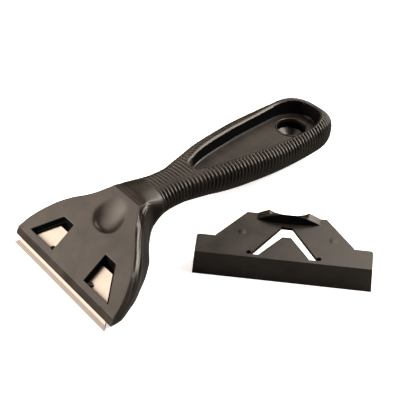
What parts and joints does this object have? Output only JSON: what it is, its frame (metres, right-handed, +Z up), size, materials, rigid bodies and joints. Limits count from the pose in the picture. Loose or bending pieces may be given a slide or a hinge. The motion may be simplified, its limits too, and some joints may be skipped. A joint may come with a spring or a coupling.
{
  "type": "window scraper",
  "caption": "Hand scraper with a ribbed handle, a flared head holding a thin trapezoid blade, and a slide-on blade cover lying beside it.",
  "frame": {"origin": "middle of the footprint of the scraper and its cover, on the table", "axes": "+X along the blade towards its right end, +Y from the blade back along the handle, +Z up from the table"},
  "size_m": [0.1124, 0.1442, 0.0248],
  "materials": {
    "handle_plastic": "satin warm black moulded plastic",
    "blade_steel": "rolled steel with a ground edge",
    "cover_plastic": "satin warm black moulded plastic",
    "tongue_plastic": "satin warm black moulded plastic"
  },
  "bodies": {
    "scraper": {"scraper_handle": "handle_plastic"},
    "blade_body": {"blade": "blade_steel"},
    "cover_body": {"blade_cover": "cover_plastic"},
    "tongue_body": {"cover_tongue": "tongue_plastic"}
  },
  "joints": [
    {"name": "blade_slide", "type": "slide", "parent": "scraper", "child": "blade_body", "axis": [0, -0.8515, -0.5244], "range_m": [0, 0.02]},
    {"name": "cover_lift", "type": "slide", "parent": "scraper", "child": "cover_body", "axis": [0, 0, 1], "range_m": [0, 0.05]},
    {"name": "tongue_flex", "type": "hinge", "parent": "cover_body", "child": "tongue_body", "pos_m": [0.02944, -0.00498, 0.0121], "axis": [0.7575, 0.6529, 0], "range_deg": [-7, 3], "stiffness_Nm_per_rad": 0.05}
  ]
}
